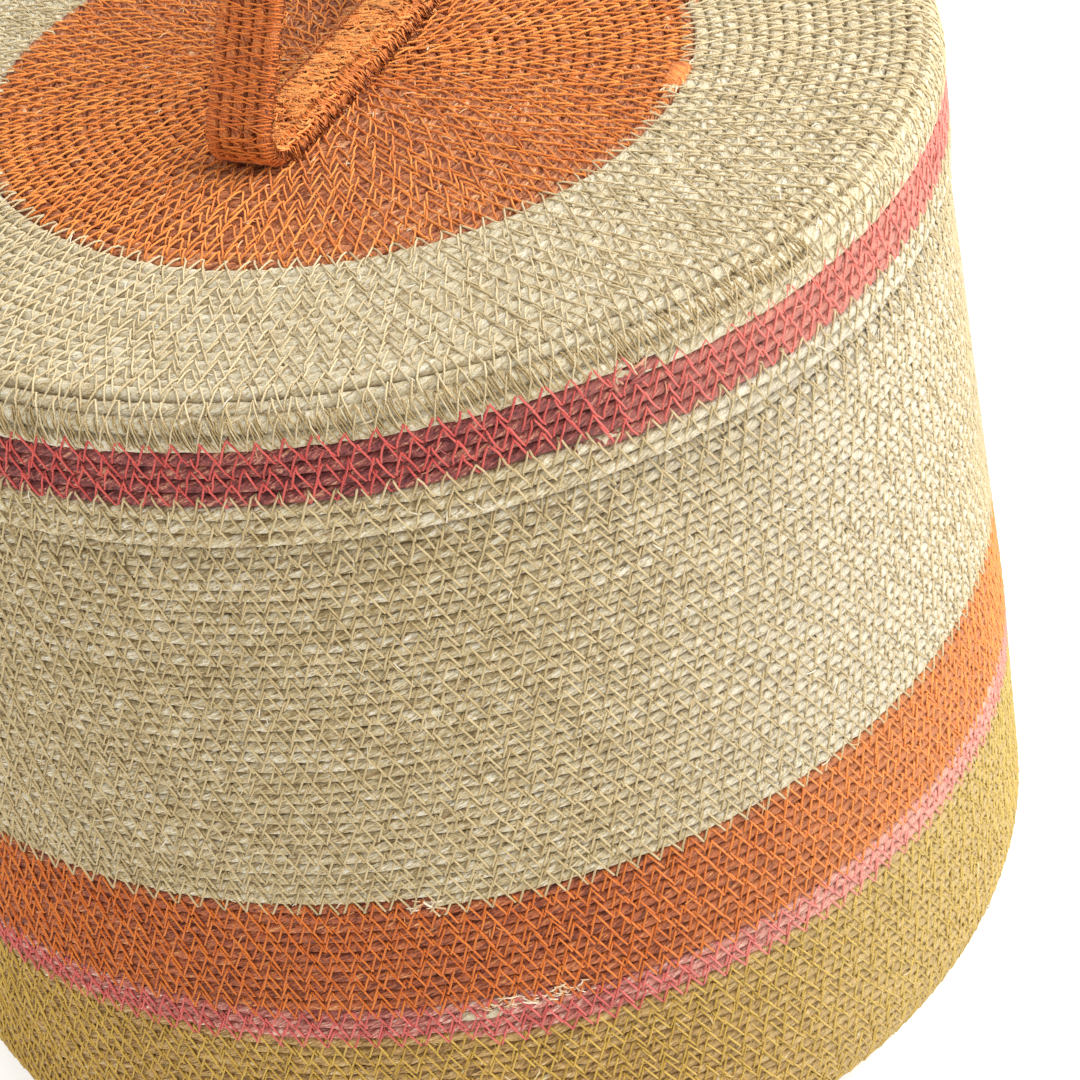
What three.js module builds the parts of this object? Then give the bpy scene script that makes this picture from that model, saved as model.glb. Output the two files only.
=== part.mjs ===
// A round lidded basket of coiled rope, sewn row to row in bands of colour.
// The lid lifts off, and a closed loop of rope band is sewn flat on top of it as its handle.
// Millimetres, +Z up. The origin is on the floor, under the middle of the basket.
import * as THREE from 'three';

// Basket, from the floor up: one height for each colour of rope
const mustardHeight = 87.7;
const pinkHeight = 10.2;
const orangeHeight = 40.1;
const naturalHeight = 123.5; // up to the shoulder under the lid's edge

// Basket wall and floor
const lowerWallRadius = 178.5; // outside, up to the top of the pink stripe
const shoulderRadius = 173.5; // outside, just under the lid's edge
const wallThickness = 4.2;
const floorThickness = 4.2;
const floorCornerRadius = 32;
const shoulderSlope = 1.2; // height in which the outside steps in to the neck
const neckBlend = 8; // height in which the inside follows the neck in

// Lid, from its lower edge up
const rimHeight = 16.7; // natural rows below the red stripe
const redHeight = 17.2;
const lidRadius = 175.3; // outside of the skirt
const lidThickness = 4.8;
const lidCornerRadius = 11.7; // outside, from the skirt to the flat top
const discRadius = 102; // orange middle of the top
const discGap = 0.3; // between the disc's last row and the natural row round it

// How the lid sits on the basket's neck
const edgeGap = 0.5; // from the shoulder up to the lid's lower edge
const neckClearance = 1.1; // from the neck out to the inside of the skirt
const seatClearance = 0.3; // from the rim to the inside of the lid's corner

// Handle, a closed loop of flat band that stands on the lid
const handleLength = 120; // across its two foot bends
const handleLean = 32.5; // degrees that its sides lean in
const handleHeight = 75;
const handleWidth = 20;
const bandThickness = 5;
const footBendRadius = 10; // outside
const topBendRadius = 26; // outside
const bandEdgeRound = 1.2;
const handleSeatGap = 0.3;

// How finely the round shapes are cut
const turnFacets = 72;
const cornerFacets = 6;
const rimFacets = 6;
const bendFacets = 5;
const edgeFacets = 2;

// Heights that follow from the sizes
const mustardTopZ = mustardHeight;
const pinkTopZ = mustardTopZ + pinkHeight;
const orangeTopZ = pinkTopZ + orangeHeight;
const shoulderZ = orangeTopZ + naturalHeight;
const lidEdgeZ = shoulderZ + edgeGap;
const redBottomZ = lidEdgeZ + rimHeight;
const redTopZ = redBottomZ + redHeight;
const lidTopZ = redTopZ + lidCornerRadius;
const lidUndersideZ = lidTopZ - lidThickness;

// The neck fits inside the skirt, and its round rim bears in the lid's inner corner
const lidCornerCentre = lidRadius - lidCornerRadius;
const lidInnerCorner = Math.max(lidCornerRadius - lidThickness, 0);
const neckRadius = lidRadius - lidThickness - neckClearance;
const rimRadius = wallThickness / 2;
const rimCentreRadius = neckRadius - rimRadius;
const cornerReach = Math.max(rimCentreRadius - lidCornerCentre, 0);
const cornerRoom = Math.max(lidInnerCorner - rimRadius - seatClearance, 0);
const rimCentreZ = Math.min(
  redTopZ + Math.sqrt(Math.max(cornerRoom ** 2 - cornerReach ** 2, 0)),
  lidUndersideZ - rimRadius - seatClearance
);

const colours = {
  mustard: 0xc39a4b,
  pink: 0xc4665a,
  orange: 0xc2683a,
  natural: 0xcdbd94,
  red: 0xa3504a
};

const basket = new THREE.Group();
basket.name = 'basket';
const lid = new THREE.Group();
lid.name = 'lid';

addBasketCoils(basket);
addLidCoils(lid);
addHandle(lid);

const liddedBasket = new THREE.Group();
liddedBasket.name = 'lidded_basket';
liddedBasket.add(basket, lid);
export default liddedBasket;

// The basket is four lengths of rope coiled one after another, so each band sits on the one below
function addBasketCoils(group) {
  const floorCornerCentre = lowerWallRadius - floorCornerRadius;
  const mustardOutline = [
    point(0, 0),
    ...arc(floorCornerCentre, floorCornerRadius, floorCornerRadius, floorCornerRadius, -90, 0, cornerFacets),
    point(lowerWallRadius, mustardTopZ),
    point(lowerWallRadius - wallThickness, mustardTopZ),
    ...arc(
      floorCornerCentre, floorCornerRadius,
      floorCornerRadius - wallThickness, floorCornerRadius - floorThickness,
      0, -90, cornerFacets
    ),
    point(0, floorThickness)
  ];
  group.add(coil('mustard_base_coil', mustardOutline, colours.mustard));
  group.add(coil('pink_stripe_coil', wallBand(mustardTopZ, pinkTopZ), colours.pink));
  group.add(coil('orange_band_coil', wallBand(pinkTopZ, orangeTopZ), colours.orange));

  const naturalOutline = [
    point(wallRadius(orangeTopZ), orangeTopZ),
    point(shoulderRadius, shoulderZ - shoulderSlope),
    point(neckRadius, shoulderZ),
    ...arc(rimCentreRadius, rimCentreZ, rimRadius, rimRadius, 0, 180, rimFacets),
    point(neckRadius - wallThickness, shoulderZ - shoulderSlope),
    point(shoulderRadius - wallThickness, shoulderZ - shoulderSlope - neckBlend),
    point(wallRadius(orangeTopZ) - wallThickness, orangeTopZ)
  ];
  group.add(coil('natural_wall_coil', closed(naturalOutline), colours.natural));
}

// The lid is four coils too: disc, top with its rounded corner, red stripe and rim
function addLidCoils(group) {
  const skirtInside = lidRadius - lidThickness;
  const discOutline = [
    point(0, lidUndersideZ),
    point(discRadius, lidUndersideZ),
    point(discRadius, lidTopZ),
    point(0, lidTopZ)
  ];
  group.add(coil('lid_orange_disc_coil', discOutline, colours.orange));

  const topOutline = [
    point(lidRadius, redTopZ),
    ...arc(lidCornerCentre, redTopZ, lidCornerRadius, lidCornerRadius, 0, 90, cornerFacets).slice(1),
    point(discRadius + discGap, lidTopZ),
    point(discRadius + discGap, lidUndersideZ),
    ...arc(lidCornerCentre, redTopZ, lidInnerCorner, lidInnerCorner, 90, 0, cornerFacets)
  ];
  group.add(coil('lid_natural_top_coil', closed(topOutline), colours.natural));
  group.add(coil('lid_red_stripe_coil', ringBand(lidRadius, skirtInside, redBottomZ, redTopZ), colours.red));
  group.add(coil('lid_natural_rim_coil', ringBand(lidRadius, skirtInside, lidEdgeZ, redBottomZ), colours.natural));
}

// The handle's outline stands in the XZ plane and is as thick as the band is wide
function addHandle(group) {
  const outline = new THREE.Shape();
  traceLoop(outline, 0);
  const hole = new THREE.Path();
  traceLoop(hole, bandThickness);
  outline.holes.push(hole);

  const geometry = new THREE.ExtrudeGeometry(outline, {
    depth: handleWidth - 2 * bandEdgeRound,
    bevelEnabled: true,
    bevelSize: bandEdgeRound,
    bevelThickness: bandEdgeRound,
    bevelOffset: -bandEdgeRound,
    bevelSegments: edgeFacets,
    curveSegments: bendFacets
  });
  geometry.translate(0, 0, bandEdgeRound - handleWidth / 2);
  geometry.rotateX(Math.PI / 2);
  const handle = new THREE.Mesh(geometry, ropeMaterial(colours.orange));
  handle.name = 'lid_handle_loop';
  handle.position.z = lidTopZ + handleSeatGap;
  group.add(handle);
}

// Traces the handle's rounded trapezoid, moved in from the outside by inset
function traceLoop(path, inset) {
  const lean = THREE.MathUtils.degToRad(handleLean);
  const footX = handleLength / 2 - footBendRadius;
  const topZ = handleHeight - topBendRadius;

  // The straight sides touch the foot bends, and would meet the top at this half length
  const footReach = footBendRadius * Math.tan(Math.PI / 4 + lean / 2);
  const halfTop = footX + footReach - handleHeight * Math.tan(lean);
  const topX = halfTop - topBendRadius * Math.tan(Math.PI / 4 - lean / 2);

  path.moveTo(0, inset);
  path.lineTo(footX, inset);
  path.absarc(footX, footBendRadius, footBendRadius - inset, -Math.PI / 2, lean, false);
  path.absarc(topX, topZ, topBendRadius - inset, lean, Math.PI / 2, false);
  path.absarc(-topX, topZ, topBendRadius - inset, Math.PI / 2, Math.PI - lean, false);
  path.absarc(-footX, footBendRadius, footBendRadius - inset, Math.PI - lean, 1.5 * Math.PI, false);
  path.lineTo(0, inset);
}

// The wall is upright up to the top of the pink stripe and leans in from there to the shoulder
function wallRadius(z) {
  const share = Math.max(z - pinkTopZ, 0) / (shoulderZ - pinkTopZ);
  return lowerWallRadius + (shoulderRadius - lowerWallRadius) * share;
}

function wallBand(bottomZ, topZ) {
  return closed([
    point(wallRadius(bottomZ), bottomZ),
    point(wallRadius(topZ), topZ),
    point(wallRadius(topZ) - wallThickness, topZ),
    point(wallRadius(bottomZ) - wallThickness, bottomZ)
  ]);
}

function ringBand(outside, inside, bottomZ, topZ) {
  return closed([point(outside, bottomZ), point(outside, topZ), point(inside, topZ), point(inside, bottomZ)]);
}

function point(radius, z) {
  return new THREE.Vector2(radius, z);
}

function closed(outline) {
  return [...outline, outline[0].clone()];
}

// Points along an elliptical arc, with its angles in degrees from the outward direction
function arc(centreRadius, centreZ, radiusAcross, radiusUp, fromDegrees, toDegrees, facets) {
  const points = [];
  for (let step = 0; step <= facets; step++) {
    const angle = THREE.MathUtils.degToRad(fromDegrees + (toDegrees - fromDegrees) * step / facets);
    points.push(point(centreRadius + radiusAcross * Math.cos(angle), centreZ + radiusUp * Math.sin(angle)));
  }
  return points;
}

function coil(name, outline, colour) {
  const geometry = new THREE.LatheGeometry(outline, turnFacets);
  geometry.rotateX(Math.PI / 2);
  const mesh = new THREE.Mesh(geometry, ropeMaterial(colour));
  mesh.name = name;
  return mesh;
}

function ropeMaterial(colour) {
  return new THREE.MeshStandardMaterial({ color: colour, roughness: 0.85, metalness: 0 });
}
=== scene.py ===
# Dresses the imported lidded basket: every coil gets its real rope and the zigzag stitches that sew it.
# Metres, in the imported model's frame. +X runs along the handle, the camera looks in from -X and -Y.
import math

import bpy
from mathutils import Matrix, Vector


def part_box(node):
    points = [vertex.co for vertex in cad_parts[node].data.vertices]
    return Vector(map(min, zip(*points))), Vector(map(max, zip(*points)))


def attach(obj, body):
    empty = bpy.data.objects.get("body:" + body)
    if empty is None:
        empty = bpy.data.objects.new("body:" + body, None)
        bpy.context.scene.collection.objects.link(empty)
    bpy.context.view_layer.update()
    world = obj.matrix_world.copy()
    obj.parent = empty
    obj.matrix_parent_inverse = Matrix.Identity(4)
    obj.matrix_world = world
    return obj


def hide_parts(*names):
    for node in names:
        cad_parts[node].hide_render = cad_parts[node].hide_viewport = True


mm = 0.001
tau = 2 * math.pi

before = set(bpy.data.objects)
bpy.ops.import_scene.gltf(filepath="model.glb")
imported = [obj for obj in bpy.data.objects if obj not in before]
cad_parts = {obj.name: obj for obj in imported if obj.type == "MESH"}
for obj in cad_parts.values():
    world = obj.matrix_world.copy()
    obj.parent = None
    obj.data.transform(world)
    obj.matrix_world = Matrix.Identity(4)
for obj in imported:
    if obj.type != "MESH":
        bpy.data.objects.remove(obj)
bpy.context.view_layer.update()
print("frame loaded")


# Node trees: formulas are written as plain arithmetic on wires

def operator(operation, swapped=False):
    def apply(self, other):
        return calc(operation, other, self) if swapped else calc(operation, self, other)
    return apply


class Wire:
    def __init__(self, tree, socket):
        self.tree = tree
        self.socket = socket

    __add__ = operator("ADD")
    __radd__ = operator("ADD", True)
    __sub__ = operator("SUBTRACT")
    __rsub__ = operator("SUBTRACT", True)
    __mul__ = operator("MULTIPLY")
    __rmul__ = operator("MULTIPLY", True)
    __truediv__ = operator("DIVIDE")
    __mod__ = operator("FLOORED_MODULO")
    __gt__ = operator("GREATER_THAN")


def feed(socket, value):
    if isinstance(value, Wire):
        value.tree.links.new(value.socket, socket)
    elif value is not None:
        socket.default_value = value


def treeOf(*values):
    return next(value.tree for value in values if isinstance(value, Wire))


def calc(operation, *values):
    tree = treeOf(*values)
    node = tree.nodes.new("ShaderNodeMath")
    node.operation = operation
    for socket, value in zip(node.inputs, values):
        feed(socket, value)
    return Wire(tree, node.outputs[0])


def addNode(tree, kind, inputs=None, **settings):
    node = tree.nodes.new(kind)
    for name, value in settings.items():
        setattr(node, name, value)
    for name, value in (inputs or {}).items():
        feed(node.inputs[name], value)
    return node


def wired(tree, kind, inputs=None, output=0, **settings):
    return Wire(tree, addNode(tree, kind, inputs, **settings).outputs[output])


def cosine(angle):
    return calc("COSINE", angle)


def sine(angle):
    return calc("SINE", angle)


def size(value):
    return calc("ABSOLUTE", value)


def clamped(value, low, high):
    return calc("MINIMUM", calc("MAXIMUM", value, low), high)


def blend(a, b, share):
    return a + (b - a) * share


def ramp(value, low, high):
    return wired(value.tree, "ShaderNodeMapRange", {"Value": value, "From Min": low, "From Max": high},
                 interpolation_type="SMOOTHSTEP")


def join3(x, y, z):
    return wired(treeOf(x, y, z), "ShaderNodeCombineXYZ", {"X": x, "Y": y, "Z": z})


def split3(vector):
    node = addNode(vector.tree, "ShaderNodeSeparateXYZ", {"Vector": vector})
    return [Wire(vector.tree, socket) for socket in node.outputs]


def scaled(vector, factor):
    return wired(vector.tree, "ShaderNodeVectorMath", {0: vector, "Scale": factor}, operation="SCALE")


def smoothNoise(x, y, z, detail=1.0):
    # Runs from -1 to 1 around a mean of 0
    vector = join3(x, y, z)
    return wired(vector.tree, "ShaderNodeTexNoise", {"Vector": vector, "Scale": 1.0, "Detail": detail},
                 noise_dimensions="3D") * 2.0 - 1.0


salts = {"point": 0.0, "rise": 1.7, "lift": 2.9, "along": 3.0, "headingX": 3.1, "headingY": 4.3,
         "tone": 5.3, "headingZ": 6.7, "size": 8.9, "leg": 11.0, "bow": 17.0, "legWander": 23.0,
         "wander": 31.7}


def dice(number, g, use):
    # A fixed random value from -1 to 1 for each whole number, another one for each use of it
    return wired(number.tree, "ShaderNodeTexWhiteNoise", {"W": number + (g["salt"] + salts[use])},
                 noise_dimensions="1D") * 2.0 - 1.0


def floats(names):
    return dict.fromkeys(names.split(), "Float")


def newTree(name, inputs):
    tree = bpy.data.node_groups.new(name, "GeometryNodeTree")
    for direction in ("INPUT", "OUTPUT"):
        tree.interface.new_socket("Geometry", in_out=direction, socket_type="NodeSocketGeometry")
    for label, kind in inputs.items():
        tree.interface.new_socket(label, in_out="INPUT", socket_type="NodeSocket" + kind)
    groupIn = tree.nodes.new("NodeGroupInput")
    return tree, {label: Wire(tree, groupIn.outputs[label]) for label in inputs}


def finishTree(geometry, material):
    tree = geometry.tree
    geometry = wired(tree, "GeometryNodeRealizeInstances", {"Geometry": geometry})
    geometry = wired(tree, "GeometryNodeSetShadeSmooth", {"Geometry": geometry})
    geometry = wired(tree, "GeometryNodeSetMaterial", {"Geometry": geometry, "Material": material})
    feed(tree.nodes.new("NodeGroupOutput").inputs["Geometry"], geometry)
    return tree


def keep(geometry, name, value, kind="FLOAT"):
    return wired(geometry.tree, "GeometryNodeStoreNamedAttribute",
                 {"Geometry": geometry, "Name": name, "Value": value}, data_type=kind, domain="POINT")


def recall(tree, name, kind="FLOAT"):
    return wired(tree, "GeometryNodeInputNamedAttribute", {"Name": name}, data_type=kind)


def moved(geometry, position=None, offset=None):
    return wired(geometry.tree, "GeometryNodeSetPosition",
                 {"Geometry": geometry, "Position": position, "Offset": offset})


def shapeOf(target):
    return wired(target.tree, "GeometryNodeObjectInfo", {"Object": target}, output="Geometry")


def lineSpot(line, length):
    # X and Z of the place, then of the direction, at that length along a line
    tree = length.tree
    sample = addNode(tree, "GeometryNodeSampleCurve", {"Curves": shapeOf(line), "Length": length},
                     mode="LENGTH", use_all_curves=True)
    place, heading = (split3(Wire(tree, sample.outputs[label])) for label in ("Position", "Tangent"))
    return place[0], place[2], heading[0], heading[2]


def countedLine(tree, count):
    # A line of that many points, and the number of each
    line = wired(tree, "GeometryNodeCurvePrimitiveLine")
    line = wired(tree, "GeometryNodeResampleCurve", {"Curve": line, "Count": count}, mode="COUNT")
    return line, wired(tree, "GeometryNodeInputIndex")


def triangle(tree, radius):
    return wired(tree, "GeometryNodeCurvePrimitiveCircle", {"Resolution": 3, "Radius": radius}, mode="RADIUS")


def swept(curve, section, out, scale=None):
    # Sweeps a section along a curve. The section's X axis points out of the surface.
    curve = wired(curve.tree, "GeometryNodeSetCurveNormal", {"Curve": curve, "Normal": out}, mode="FREE")
    return wired(curve.tree, "GeometryNodeCurveToMesh",
                 {"Curve": curve, "Profile Curve": section, "Scale": scale, "Fill Caps": True})


def newObject(name, data):
    made = bpy.data.objects.new(name, data)
    bpy.context.scene.collection.objects.link(made)
    return made


def grow(name, tree, values, body, slotName, node):
    # Runs a tree on an empty mesh and hands the result over as a plain piece
    maker = newObject(name + "Maker", bpy.data.meshes.new(name + "Seed"))
    modifier = maker.modifiers.new("grow", "NODES")
    modifier.node_group = tree
    for item in tree.interface.items_tree:
        if item.in_out == "INPUT" and item.name in values:
            modifier[item.identifier] = values[item.name]
    depsgraph = bpy.context.evaluated_depsgraph_get()
    grown = maker.evaluated_get(depsgraph)
    mesh = bpy.data.meshes.new_from_object(grown, preserve_all_data_layers=True, depsgraph=depsgraph)
    bpy.data.objects.remove(maker)
    mesh.name = name
    piece = newObject(name, mesh)
    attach(piece, body)
    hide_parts(node)
    print(name, sum(len(face.vertices) - 2 for face in mesh.polygons), "triangles")


# Every coil follows a line in the XZ plane, turned round the basket's axis

def arcPoints(centreX, centreZ, radius, fromDegrees, toDegrees, steps):
    points = []
    for step in range(steps + 1):
        angle = math.radians(fromDegrees + (toDegrees - fromDegrees) * step / steps)
        points.append((centreX + radius * math.cos(angle), centreZ + radius * math.sin(angle)))
    return points


def lineLength(points):
    return sum(math.dist(a, b) for a, b in zip(points, points[1:]))


def lineObject(name, points, closed=False, flat=False):
    # A line in the XZ plane, or in the XY plane if it is flat
    curve = bpy.data.curves.new(name, "CURVE")
    curve.dimensions = "3D"
    spline = curve.splines.new("POLY")
    spline.points.add(len(points) - 1)
    for target, (x, z) in zip(spline.points, points):
        target.co = (x, z, 0, 1) if flat else (x, 0, z, 1)
    spline.use_cyclic_u = closed
    return newObject(name, curve)


basket = {
    "surface": 2.45 * mm,       # from the outside of the stitches in to the rope's middle
    "floorCorner": 32 * mm,
    "floorShare": 0.8,          # share of the base's radius that counts as its floor
    "shoulderRadius": 173.5 * mm,
    "neckRadius": 169.4 * mm,
    "neckStep": 7 * mm,         # height in which the rows step in to the neck
    "stepBelow": 0.35,          # share of that height below the lid's edge
    "neckTurns": 3.6,           # turns above the shoulder from which the lid's edge hides the rows
}
lid = {
    "surface": 2.75 * mm,
    "upright": 1.6 * mm,        # height in which the rows above the red stripe still stand upright
    "creaseTurns": 3.2,         # turns from the crease out to the red stripe
    "stubTurns": 0.93,          # turns from the disc's blunt rope end out to the disc's edge
}

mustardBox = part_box("mustard_base_coil")
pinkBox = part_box("pink_stripe_coil")
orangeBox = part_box("orange_band_coil")
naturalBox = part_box("natural_wall_coil")
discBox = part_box("lid_orange_disc_coil")
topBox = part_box("lid_natural_top_coil")
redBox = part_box("lid_red_stripe_coil")
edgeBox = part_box("lid_natural_rim_coil")
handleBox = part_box("lid_handle_loop")
shoulderZ = edgeBox[0].z


def basketLine():
    inset = basket["surface"]
    wall = mustardBox[1].x - inset
    corner = basket["floorCorner"] - inset
    points = [(0, inset)]
    points += arcPoints(wall - corner, inset + corner, corner, -90, 0, 14)
    points.append((wall, pinkBox[1].z))
    shoulder = basket["shoulderRadius"] - inset
    neck = basket["neckRadius"] - inset
    stepBottom = shoulderZ - basket["neckStep"] * basket["stepBelow"]
    for step in range(9):
        share = step / 8
        ease = (1 - math.cos(math.pi * share)) / 2
        points.append((shoulder + (neck - shoulder) * ease, stepBottom + basket["neckStep"] * share))
    points.append((neck, naturalBox[1].z - inset))
    return points


def lidLine():
    inset = lid["surface"]
    skirt = redBox[1].x - inset
    topZ = topBox[1].z - inset
    corner = topZ - redBox[1].z - lid["upright"]
    points = [(0, topZ)]
    points += arcPoints(skirt - corner, topZ - corner, corner, 90, 0, 10)
    points.append((skirt, edgeBox[0].z + inset * 0.8))
    return points


coilPoints = {"basket": basketLine(), "lid": lidLine()}
basketCurve = lineObject("basketLine", coilPoints["basket"])
lidCurve = lineObject("lidLine", coilPoints["lid"])

coils = {
    "basket": {
        "profile": basketCurve,
        "rowPitch": 3.6 * mm,
        "ropeThick": 4.2 * mm,
        "winding": 1.0,         # climbs anticlockwise, seen from above
        "outside": 1.0,
        "startAngle": 0.0,
        "sway": 0.45 * mm,
        "swell": 0.55 * mm,
        "tautAngle": math.radians(-75),     # side on which the thread is pulled down into the rope
        "tautDepth": 0.2 * mm,
    },
    "lid": {
        "profile": lidCurve,
        "rowPitch": 4.4 * mm,
        "ropeThick": 4.7 * mm,
        "winding": -1.0,
        "outside": -1.0,
        "startAngle": math.radians(162),
        "sway": 0.5 * mm,
        "swell": 0.5 * mm,
        "tautAngle": math.radians(-85),
        "tautDepth": 0.15 * mm,
        "creaseStep": 0.85 * mm,
        "creaseAngle": math.radians(-176),  # the crease fades out on both sides of this angle
        "cornerFullness": 0.16,
    },
}


def lengthTo(points, reached):
    # Length along a line of points up to the first spot for which reached is true
    total = 0.0
    steps = 200
    for a, b in zip(points, points[1:]):
        for step in range(steps):
            share = step / steps
            spot = (a[0] + (b[0] - a[0]) * share, a[1] + (b[1] - a[1]) * share)
            if reached(*spot):
                return total + math.dist(a, spot)
        total += math.dist(a, b)
    return total


def turnAt(coil, degrees, reached):
    # The turn at which the coil's rope passes that angle, nearest to the first spot that is reached
    settings = coils[coil]
    length = lengthTo(coilPoints[coil], reached)
    middle = length / settings["rowPitch"] - 0.5 - settings["startAngle"] / tau * settings["winding"]
    share = (math.radians(degrees) - settings["startAngle"]) / tau * settings["winding"]
    return round(middle - share) + share


ropeEnds = {
    # coil, angle of the splice, and the part of the coil's line in the XZ plane that is past it
    "corner": ("basket", -90, lambda x, z: x > mustardBox[1].x * basket["floorShare"]),
    "mustard": ("basket", -151, lambda x, z: z > mustardBox[1].z),
    "pink": ("basket", -145, lambda x, z: z > pinkBox[1].z),
    "orange": ("basket", -154, lambda x, z: z > orangeBox[1].z),
    "middle": ("basket", 30, lambda x, z: z > (orangeBox[1].z + shoulderZ) / 2),
    "shoulder": ("basket", -90, lambda x, z: z > shoulderZ),
    "disc": ("lid", -55, lambda x, z: x > discBox[1].x),
    "top": ("lid", -127, lambda x, z: z < redBox[1].z),
    "red": ("lid", -131, lambda x, z: z < redBox[0].z),
}
turns = {"floor": 0.0, "centre": 0.0, **{name: turnAt(*end) for name, end in ropeEnds.items()}}
turns["neck"] = turns["shoulder"] + basket["neckTurns"]
turns["rim"] = lineLength(coilPoints["basket"]) / coils["basket"]["rowPitch"] - 0.5
turns["edge"] = lineLength(coilPoints["lid"]) / coils["lid"]["rowPitch"] - 0.5
turns["stub"] = turns["disc"] - lid["stubTurns"]
coils["lid"]["cornerTurn"] = turns["top"]
coils["lid"]["creaseTurn"] = turns["top"] - lid["creaseTurns"]
print("turns", {name: round(turn, 2) for name, turn in turns.items()})

coilInputs = {
    "profile": "Object", "material": "Material",
    **floats("rowPitch winding outside startAngle sway swell tautAngle tautDepth creaseTurn creaseStep"
             " creaseAngle cornerTurn cornerFullness firstTurn lastTurn"),
}
ropeInputs = {"section": "Object", **floats("ropeThick layLength lumpSize taperLength stepLength")}
threadInputs = floats("ropeThick stitchLength slant reach arch threadThick jitter wander drift seamShift"
                      " salt")


def span(first, last, firstShift=0.0, lastShift=0.0):
    return {"firstTurn": turns[first] + firstShift, "lastTurn": turns[last] + lastShift}


def angleAt(g, turn):
    return turn * g["winding"] * tau + g["startAngle"]


def creaseLift(g, turn):
    # One turn of rope stands proud and the next lies low, so that a dark crease runs between them
    past = turn - g["creaseTurn"]
    proud = ramp(past, -1.25, -0.95) - ramp(past, -0.12, 0.0)
    low = ramp(past, 0.0, 0.12) - ramp(past, 0.9, 1.6)
    side = ramp(cosine(angleAt(g, turn) - g["creaseAngle"]), 0.55, 0.9)
    return (proud * 0.45 - low) * side * g["creaseStep"]


def fullness(g, turn):
    # The rope over the lid's rounded corner is fuller, because its rows fan out there
    past = turn - g["cornerTurn"]
    return (ramp(past, -2.8, -2.4) - ramp(past, -0.2, 0.5)) * g["cornerFullness"] + 1.0


def tautness(g, turn):
    # How deep the stitches are pulled into the rope there
    return ramp(cosine(angleAt(g, turn) - g["tautAngle"]), 0.4, 0.9) * g["tautDepth"]


def spiralSpot(g, turn, rise=0.0, lift=0.0):
    # Where the coil is after that many turns, moved along the wall by rise and out of it by lift
    angle = angleAt(g, turn)
    east = cosine(angle)
    north = sine(angle)
    along = (turn + 0.5) * g["rowPitch"] + rise
    sway = smoothNoise(east * 1.4, north * 1.4, along * 11.0) * g["sway"]
    swell = smoothNoise(east * 2.1 + 7.0, north * 2.1, along * 16.0) * g["swell"]
    x, z, tangentX, tangentZ = lineSpot(g["profile"], along + sway)
    outX = tangentZ * g["outside"]
    outZ = tangentX * g["outside"] * -1.0
    reach = swell + lift
    radius = x + outX * reach
    spot = join3(radius * east, radius * north, z + outZ * reach)
    return spot, join3(outX * east, outX * north, outZ), radius


def spiralCurve(tree, g, stepLength):
    # The coil's middle line in even steps, with its turn number kept on each point
    roughSteps = 120.0
    wound = g["lastTurn"] - g["firstTurn"]
    steps = calc("CEIL", wound * roughSteps) + 2.0
    curve, index = countedLine(tree, steps + 1.0)
    curve = keep(curve, "turn", index / steps * wound + g["firstTurn"])
    curve = moved(curve, spiralSpot(g, recall(tree, "turn"))[0])
    return wired(tree, "GeometryNodeResampleCurve", {"Curve": curve, "Length": stepLength}, mode="LENGTH")


def ropeBody(curve, out, g, scale=1.0):
    # Gives a line its rope: six-sided, flat to the outside, tapered at both ends, with twisted lumps.
    # A section's Y axis points across the rows.
    tree = curve.tree
    length = recall(tree, "ropeLength")
    whole = length / calc("MAXIMUM", recall(tree, "ropeFactor"), 0.00001)
    nearEnd = calc("MINIMUM", length, whole - length)
    taper = clamped(nearEnd / g["taperLength"], 0.0, 1.0)
    through, across = split3(wired(tree, "GeometryNodeInputPosition"))[:2]
    section = keep(shapeOf(g["section"]), "facing", through * 2.0)
    section = keep(section, "around", join3(through * 2.0, across * 2.0, 0.0), "FLOAT_VECTOR")
    section = moved(section, join3(through * g["ropeThick"], across * g["rowPitch"], 0.0))
    mesh = swept(curve, section, out, blend(0.3, 1.0, taper) * scale)
    aroundX, aroundY = split3(recall(tree, "around", "FLOAT_VECTOR"))[:2]
    twist = length / g["layLength"] * tau
    twistX = aroundX * cosine(twist) - aroundY * sine(twist)
    twistY = aroundX * sine(twist) + aroundY * cosine(twist)
    mesh = keep(mesh, "ropeCoords", join3(length, twistX, twistY), "FLOAT_VECTOR")
    lump = smoothNoise(length * 230.0, twistX * 1.1, twistY * 1.1) * g["lumpSize"] * 2.0
    return moved(mesh, offset=scaled(wired(tree, "GeometryNodeInputNormal"), lump))


def measured(curve):
    # Keeps the length along the line, and the share of the whole, on each point
    for name, output in (("ropeLength", "Length"), ("ropeFactor", "Factor")):
        curve = keep(curve, name, wired(curve.tree, "GeometryNodeSplineParameter", output=output))
    return curve


def ropeTree():
    tree, g = newTree("ropeRows", {**coilInputs, **ropeInputs, "rowJitter": "Float"})
    curve = measured(spiralCurve(tree, g, g["stepLength"]))
    turn = recall(tree, "turn")
    length = recall(tree, "ropeLength")
    unevenRise = smoothNoise(length * 60.0, 3.0, 0.0) * g["rowJitter"]
    unevenLift = smoothNoise(length * 90.0, 9.0, 0.0) * g["rowJitter"] + creaseLift(g, turn)
    spot, out = spiralSpot(g, turn, unevenRise, unevenLift)[:2]
    return finishTree(ropeBody(moved(curve, spot), out, g, fullness(g, turn)), g["material"])


def startThreads(name, inputs, wind, perStitch):
    # A new tree with a line of so many points for each stitch, and the turn and number of each point
    tree, g = newTree(name, {**inputs, **threadInputs})
    curve = wind(tree, g, g["stitchLength"] / perStitch)
    return g, curve, recall(tree, "turn"), wired(tree, "GeometryNodeInputIndex")


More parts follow.
